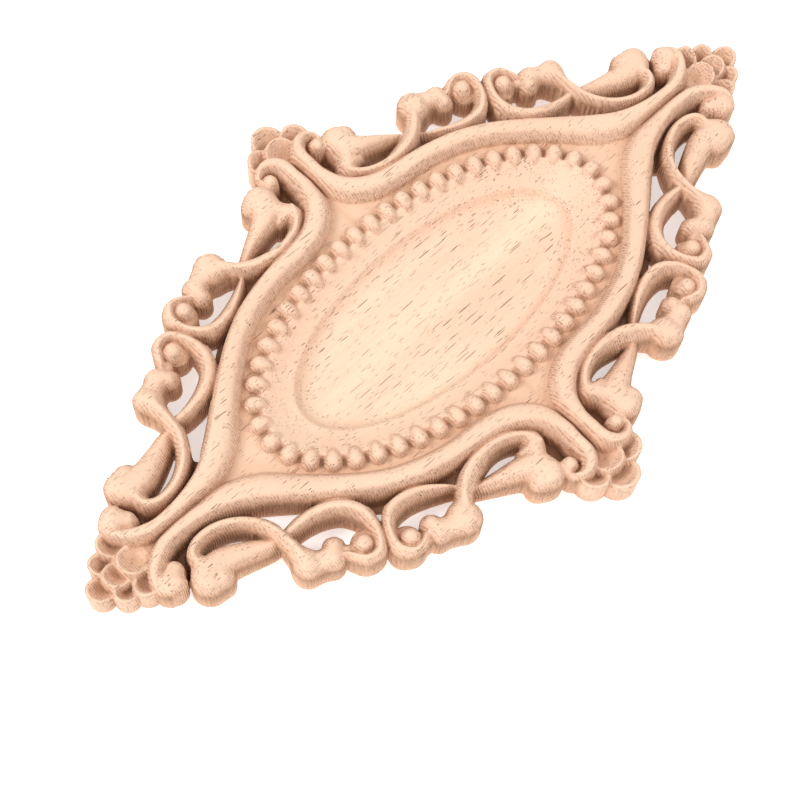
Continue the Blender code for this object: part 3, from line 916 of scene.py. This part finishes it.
    def mark_hollows(self, board: bpy.types.Object) -> None:
        """Note how deep in a hollow each point lies and how steep the cut is there.

        Args:
            board: the whole piece, in metres.
        """
        points = points_of(board) / DRAWN
        x, y, z = points.T
        # Depth below the blurred relief: the mask of the shade painted in the hollows
        narrow = np.clip(self.relief.softened(self.solid, self.narrow).at(x, y) - z, 0, None)
        broad = np.clip(self.relief.softened(self.solid, self.broad).at(x, y) - z, 0, None)
        hollow = self.narrow_share * narrow / self.narrow_depth
        hollow = np.clip(hollow + (1 - self.narrow_share) * broad / self.broad_depth, 0, 1)
        # Painted shade: in the pits just outside the line of the beads, on the wall just inside the rim of
        # the dish, and at the foot of the walls
        pits = np.exp(-(RING.inside(x, y) + self.pit_place)**2)
        hollow += self.pit_shade * pits * np.clip((FIELD + self.pit_depth - z) / self.pit_depth, 0, 1)
        hollow += self.rim_shade * np.exp(-((DISH.inside(x, y) - self.rim_place) / self.rim_spread)**2)
        hollow[z < BACK] = self.base_shade
        normals = np.empty(len(points) * 3)
        board.data.vertex_normals.foreach_get("vector", normals)
        steep = 1 - np.abs(normals.reshape(-1, 3)[:, 2])
        for name, values in (("hollow", hollow), ("steep", steep)):
            mark = board.data.attributes.new(name, "FLOAT", "POINT")
            mark.data.foreach_set("value", values)

    def build(self) -> bpy.types.Object:
        """Make the applique.

        Returns:
            The finished piece, at the origin, in metres.
        """
        board = self.blank()
        self.saw_outline(board)
        self.carve_face(board)
        self.thin(board)
        self.give_thickness(board)
        self.mirror(board)
        self.mark_hollows(board)
        return board

    def dress(self, board: bpy.types.Object, finish: "BareWood") -> None:
        """Give the piece its finish and its place in the frame.

        Args:
            board: the finished piece.
            finish: the wood.
        """
        board.data.materials.clear()
        board.data.materials.append(finish.material())
        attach(board, "root")
        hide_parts("carved_applique")


class Value:
    """A shader socket that takes part in ordinary arithmetic."""

    def __init__(self, graph: "Graph", socket: bpy.types.NodeSocket) -> None:
        """Wrap an output socket of a graph."""
        self.graph = graph
        self.socket = socket

    def __add__(self, other: "Number") -> "Value":
        """Sum of two values."""
        return self.graph.math("ADD", self, other)

    def __sub__(self, other: "Number") -> "Value":
        """This value less another."""
        return self.graph.math("SUBTRACT", self, other)

    def __rsub__(self, other: float) -> "Value":
        """A number less this value."""
        return self.graph.math("SUBTRACT", other, self)

    def __mul__(self, other: "Number") -> "Value":
        """Product of two values."""
        return self.graph.math("MULTIPLY", self, other)

    __radd__ = __add__
    __rmul__ = __mul__


Number = Union[float, Value]
Size = tuple[float, float, float]
Colour = tuple[float, float, float, float]
Range = tuple[float, float]


class Graph:
    """The node tree of one finish."""

    def __init__(self, name: str) -> None:
        """Start a material whose shader is ready to be fed.

        Args:
            name: the material's name.
        """
        self.material = bpy.data.materials.new(name)
        self.material.use_nodes = True
        self.tree = self.material.node_tree
        self.shader = self.tree.nodes["Principled BSDF"]

    def node(
        self, kind: str, settings: dict[str, object], sockets: dict[int | str, object],
    ) -> bpy.types.Node:
        """Add a node.

        Args:
            kind: the node's type.
            settings: what is set first, such as an operation.
            sockets: the value or link of each input, by name or number.

        Returns:
            The node.
        """
        node = self.tree.nodes.new(kind)
        for name, setting in settings.items():
            setattr(node, name, setting)
        for key, given in sockets.items():
            self.feed(node.inputs[key], given)
        return node

    def feed(self, target: bpy.types.NodeSocket, given: object) -> None:
        """Set an input to a value, or link a socket to it.

        Args:
            target: the input.
            given: a value to set, or a wrapped socket to link.
        """
        if isinstance(given, Value):
            self.tree.links.new(given.socket, target)
        else:
            target.default_value = given

    def math(self, operation: str, *values: Number) -> Value:
        """Add a Math node for an expression."""
        node = self.node("ShaderNodeMath", {"operation": operation}, dict(enumerate(values)))
        return Value(self, node.outputs[0])

    def clamp(self, value: Value, low: float, high: float) -> Value:
        """Spread a value from low and high to 0 and 1, smoothly, and hold it there.

        Args:
            value: the value.
            low: what becomes 0.
            high: what becomes 1.

        Returns:
            The value between 0 and 1.
        """
        sockets = {"Value": value, "From Min": low, "From Max": high}
        node = self.node("ShaderNodeMapRange", {"interpolation_type": "SMOOTHSTEP"}, sockets)
        return Value(self, node.outputs["Result"])

    def place(self) -> Value:
        """Read the place on the piece.

        Returns:
            The place in millimetres.
        """
        own = self.node("ShaderNodeTexCoord", {}, {}).outputs["Object"]
        sockets = {0: Value(self, own), "Scale": MILLIMETRES}
        node = self.node("ShaderNodeVectorMath", {"operation": "SCALE"}, sockets)
        return Value(self, node.outputs[0])

    def stretched(self, place: Value, size: Size) -> Value:
        """Scale a place so that a pattern cell is as long, wide and deep as size."""
        node = self.node("ShaderNodeMapping", {"vector_type": "TEXTURE"}, {"Vector": place, "Scale": size})
        return Value(self, node.outputs[0])

    def noise(self, place: Value, detail: float, roughness: float = 0.5) -> Value:
        """Soft noise of unit cells."""
        sockets = {"Vector": place, "Scale": 1.0, "Detail": detail, "Roughness": roughness}
        return Value(self, self.node("ShaderNodeTexNoise", {}, sockets).outputs[0])

    def mark(self, name: str) -> Value:
        """A value noted on the points of the piece."""
        node = self.node("ShaderNodeAttribute", {"attribute_name": name}, {})
        return Value(self, node.outputs["Fac"])

    def blend(self, factor: Number, first: object, second: object) -> Value:
        """Mix two colours."""
        node = self.node("ShaderNodeMix", {"data_type": "RGBA"}, {"Factor": factor, 6: first, 7: second})
        return Value(self, node.outputs[2])


@dataclass(frozen=True)
class Pores:
    """One kind of pore: a dark dash in some of the cells of a stretched lattice."""

    cell: Size                    # length, width and depth of a cell, in millimetres
    radius: float                 # half size of a pore, in cells
    sway: Size = (9.0, 2.0, 2.0)  # cells of the noise that sways the rows of pores
    sway_reach: Size = (0.0, 0.6, 0.6)
    fewest: float = 0.15          # a cell's draw from which it has a pore
    fullest: float = 0.60         # and from which the pore is fully dark
    shortest: float = 0.55        # size of the smallest pore, against the radius
    spread: float = 0.75          # how much larger the largest is
    edge: float = 0.5             # softness of a pore's edge, against the radius

    def dashes(self, g: Graph, place: Value) -> Value:
        """Lay out the pores.

        Args:
            g: the graph of the finish.
            place: place on the piece in millimetres.

        Returns:
            1 in a pore, 0 beside it.
        """
        wander = g.noise(g.stretched(place, self.sway), detail=1.0)
        sockets = {0: wander, 1: self.sway_reach, 2: place}
        shifted = g.node("ShaderNodeVectorMath", {"operation": "MULTIPLY_ADD"}, sockets)
        cells = g.stretched(Value(g, shifted.outputs[0]), self.cell)
        lattice = g.node("ShaderNodeTexVoronoi", {}, {"Vector": cells, "Scale": 1.0})
        distance = Value(g, lattice.outputs["Distance"])
        draw = g.node("ShaderNodeSeparateColor", {}, {0: Value(g, lattice.outputs["Color"])})
        share = g.clamp(Value(g, draw.outputs[0]), self.fewest, self.fullest)
        reach = self.radius * (self.shortest + self.spread * Value(g, draw.outputs[1]))
        return g.clamp(reach - distance, 0.0, self.radius * self.edge) * share


@dataclass(frozen=True)
class BareWood:
    """Pale unfinished wood, straight from the carving tool. Patterns are sized in millimetres."""

    cream: Colour = (0.87, 0.68, 0.505, 1.0)
    peach: Colour = (0.83, 0.555, 0.405, 1.0)
    # The pore colour is also painted as shade in the deepest hollows
    pore: Colour = (0.20, 0.095, 0.045, 1.0)
    # This colour is of torn fibres and also of the painted shade in the hollows and between the cutter's
    # ridges
    torn_and_shade: Colour = (0.53, 0.25, 0.115, 1.0)
    roughness: float = 0.72
    roughness_spread: float = 0.16
    specular: float = 0.2
    relief: float = 0.00022                 # height of the bumps, in metres
    band: Size = (70.0, 11.0, 14.0)         # broad bands of colour along the board
    streak: Size = (22.0, 0.8, 0.8)         # fine streaks in them
    middle: Size = (40.3, 17.8, 60.0)       # half axes of the dish floor, painted paler as if better lit
    crowd: Size = (45.0, 9.0, 9.0)          # bands in which pores are thick or thin
    tear: Size = (0.8, 1.1, 1.1)            # patches of torn fibres
    ridge: Size = (0.55, 0.55, 0.55)        # ridges left by the cutter
    fibre: Size = (1.1, 0.22, 0.22)
    long_pores: Pores = Pores((8.5, 0.40, 0.40), 0.25)
    short_pores: Pores = Pores((3.4, 0.34, 0.34), 0.24)

    # How far each thing takes the colour over
    streak_share: float = 0.35
    off_floor_shade_share: float = 0.6
    steep_share: float = 0.3
    pore_share: float = 0.8
    torn_and_shade_share: float = 0.42
    shade_share: float = 0.42
    deep_shade_share: float = 0.45
    thin_crowd: float = 0.45                # strength of long pores where they are thin
    short_strength: float = 0.45

    # How much each thing raises or sinks the bumps
    ridge_height: float = 0.8
    fibre_height: float = 0.4
    pore_depth: float = 0.8
    tick_depth: float = 0.6

    # From which value each thing starts to show, and at which it shows fully
    tone_range: Range = (0.42, 0.92)
    away_range: Range = (0.85, 1.1)         # outside the dish floor, where shade is painted
    steep_range: Range = (0.0, 0.5)
    crowd_range: Range = (0.35, 0.65)
    valley_range: Range = (0.15, 0.6)       # between the ridges, where shade is painted on steep cuts
    cut_range: Range = (0.13, 0.50)         # steep cuts
    tear_range: Range = (0.42, 0.66)
    shade_range: Range = (0.05, 0.6)        # hollows
    deep_shade_range: Range = (0.5, 1.0)          # deep hollows, where darker shade is painted

    def material(self) -> bpy.types.Material:
        """Make the material.

        Returns:
            The material.
        """
        g = Graph("bare_wood")
        place = g.place()
        # The hollow mark carries the depth of each hollow and the shade painted in the pits, at the dish rim
        # and at the foot of the walls
        hollow = g.mark("hollow")
        steep = g.mark("steep")

        colour = self.grain(g, place, steep)
        dashes = self.pores(g, place)
        colour = g.blend(dashes * self.pore_share, colour, self.pore)
        ridges = self.ridges(g, place)
        cut = g.clamp(steep, *self.cut_range)
        tears = g.noise(g.stretched(place, self.tear), detail=2.0, roughness=0.6)
        # Ticks of painted shade in the valleys between the cutter's ridges on steep cuts, partly also torn
        # fibres
        ticks = (1 - g.clamp(ridges, *self.valley_range)) * g.clamp(tears, *self.tear_range) * cut
        colour = g.blend(ticks * self.torn_and_shade_share, colour, self.torn_and_shade)

        # Painted shade in the hollows: darker and more orange, and darkest in the deepest ones
        shade = g.clamp(hollow, *self.shade_range) * self.shade_share
        colour = g.blend(shade, colour, self.torn_and_shade)
        deep_shade = g.clamp(hollow, *self.deep_shade_range) * self.deep_shade_share
        colour = g.blend(deep_shade, colour, self.pore)
        g.feed(g.shader.inputs["Base Color"], colour)

        fibres = g.noise(g.stretched(place, self.fibre), detail=3.0, roughness=0.65)
        raised = self.ridge_height * ridges * cut + self.fibre_height * fibres
        height = raised - self.pore_depth * dashes - self.tick_depth * ticks
        bump = g.node("ShaderNodeBump", {}, {"Strength": 1.0, "Distance": self.relief, "Height": height})
        g.feed(g.shader.inputs["Normal"], Value(g, bump.outputs["Normal"]))
        g.feed(g.shader.inputs["Roughness"], self.roughness + self.roughness_spread * (fibres - 0.5))
        g.shader.inputs["Specular IOR Level"].default_value = self.specular
        return g.material

    def grain(self, g: Graph, place: Value, steep: Value) -> Value:
        """Colour broad bands and fine streaks along the board.

        Args:
            g: the graph of the finish.
            place: place on the piece in millimetres.
            steep: how steep the cut is.

        Returns:
            The colour, with painted light and shade: palest on the floor of the dish, as if it were better
                lit, pinker on the rest of the carving as painted shade, and pinker on steep cuts, partly as
                painted shade and partly as cut end grain.
        """
        bands = g.noise(g.stretched(place, self.band), detail=2.0)
        streaks = g.noise(g.stretched(place, self.streak), detail=3.0, roughness=0.6)
        tone = g.clamp(bands + self.streak_share * streaks, *self.tone_range)
        colour = g.blend(tone, self.cream, self.peach)
        sockets = {0: g.stretched(place, self.middle)}
        middle = g.node("ShaderNodeVectorMath", {"operation": "LENGTH"}, sockets)
        away = g.clamp(Value(g, middle.outputs["Value"]), *self.away_range) * self.off_floor_shade_share
        # Painted light and shade: the dish floor paler as if better lit, the rest pinker as in shade, steep
        # cuts pinker partly as painted shade and partly as end grain
        return g.blend(away + g.clamp(steep, *self.steep_range) * self.steep_share, colour, self.peach)

    def pores(self, g: Graph, place: Value) -> Value:
        """Lay out long and short pores, thicker in some bands than in others.

        Args:
            g: the graph of the finish.
            place: place on the piece in millimetres.

        Returns:
            How dark a pore is at each place.
        """
        long_dashes = self.long_pores.dashes(g, place)
        short_dashes = self.short_pores.dashes(g, place)
        crowd = g.clamp(g.noise(g.stretched(place, self.crowd), detail=1.0), *self.crowd_range)
        strength = self.thin_crowd + (1 - self.thin_crowd) * crowd
        return g.math("MAXIMUM", long_dashes * strength, self.short_strength * short_dashes)

    def ridges(self, g: Graph, place: Value) -> Value:
        """Lay out the ridges that the cutter leaves across the board.

        Args:
            g: the graph of the finish.
            place: place on the piece in millimetres.

        Returns:
            1 on a ridge, 0 between two.
        """
        settings = {"wave_type": "BANDS", "bands_direction": "X"}
        sockets = {"Vector": g.stretched(place, self.ridge), "Scale": 0.314}
        sockets |= {"Distortion": 1.6, "Detail": 1.0, "Detail Scale": 0.6}
        return Value(g, g.node("ShaderNodeTexWave", settings, sockets).outputs["Fac"])


@dataclass(frozen=True)
class PaleFloor:
    """Plain matt white floor."""

    colour: Colour = (0.93, 0.93, 0.93, 1.0)
    roughness: float = 0.9
    specular: float = 0.1
    glow: float = 0.5

    def material(self) -> bpy.types.Material:
        """Make the material.

        Returns:
            The material.
        """
        g = Graph("pale_floor")
        g.shader.inputs["Base Color"].default_value = self.colour
        g.shader.inputs["Roughness"].default_value = self.roughness
        g.shader.inputs["Specular IOR Level"].default_value = self.specular
        g.shader.inputs["Emission Color"].default_value = self.colour
        g.shader.inputs["Emission Strength"].default_value = self.glow
        return g.material


@dataclass(frozen=True)
class Softbox:
    """A square soft light that faces the piece, sized in metres and watts."""

    name: str
    place: Size
    side: float
    power: float

    def hang(self) -> None:
        """Hang the light."""
        deselect_all()
        bpy.ops.object.light_add(type="AREA", location=self.place)
        light = bpy.context.active_object
        light.name = self.name
        x, y, z = self.place
        light.rotation_euler = (math.atan2(math.hypot(x, y), z), 0, math.atan2(y, x) + math.pi / 2)
        light.data.shape = "SQUARE"
        light.data.size = self.side
        light.data.energy = self.power


@dataclass(frozen=True)
class Studio:
    """The floor, the soft lights and the camera."""

    floor_size: float = 14.0
    lens: float = 72.88
    sensor: float = 36.0
    clip_start: float = 0.01
    camera_place: Size = (-0.13063619, -0.10222299, 0.32686115)
    camera_turn: Size = (23.89328738, -2.4023757, -44.04517343)
    shift: tuple[float, float] = (0.005628, -0.0106)
    ambient: float = 0.64
    room: Colour = (1.0, 0.97, 0.94, 1.0)
    softboxes: tuple[Softbox, ...] = (
        Softbox("left_light", (-0.72, 0.69, 0.95), 0.45, 10.3),
        Softbox("right_light", (0.72, -0.69, 0.95), 0.4, 5.7),
        Softbox("front_light", (-0.75, -0.78, 0.55), 0.7, 3.6),
    )

    def floor(self) -> bpy.types.Object:
        """Lay the floor.

        Returns:
            The floor.
        """
        deselect_all()
        bpy.ops.mesh.primitive_plane_add(size=self.floor_size, location=(0, 0, 0))
        floor = bpy.context.active_object
        floor.name = "pale_floor"
        floor.data.materials.append(PaleFloor().material())
        return floor

    def lights(self) -> None:
        """Hang the lights and set the light of the room."""
        for softbox in self.softboxes:
            softbox.hang()
        world = bpy.data.worlds.new("studio")
        world.use_nodes = True
        room = world.node_tree.nodes["Background"]
        room.inputs["Color"].default_value = self.room
        room.inputs["Strength"].default_value = self.ambient
        bpy.context.scene.world = world
        bpy.context.scene.view_settings.view_transform = "Standard"

    def camera(self) -> None:
        """Set up the camera."""
        deselect_all()
        turn = tuple(math.radians(angle) for angle in self.camera_turn)
        bpy.ops.object.camera_add(location=self.camera_place, rotation=turn)
        camera = bpy.context.active_object
        camera.name = "camera"
        camera.data.sensor_width = self.sensor
        camera.data.lens = self.lens
        camera.data.shift_x, camera.data.shift_y = self.shift
        camera.data.clip_start = self.clip_start
        bpy.context.scene.camera = camera


def main() -> None:
    """Make the piece and the studio, and report them."""
    applique = CarvedApplique()
    board = applique.build()
    applique.dress(board, BareWood())
    log.info("%s: %d triangles", board.name, len(board.data.loop_triangles))
    studio = Studio()
    floor = studio.floor()
    log.info("%s: %.1f m", floor.name, studio.floor_size)
    studio.lights()
    studio.camera()


if __name__ == "__main__":
    logging.basicConfig(level=logging.INFO, format="%(message)s")
    main()
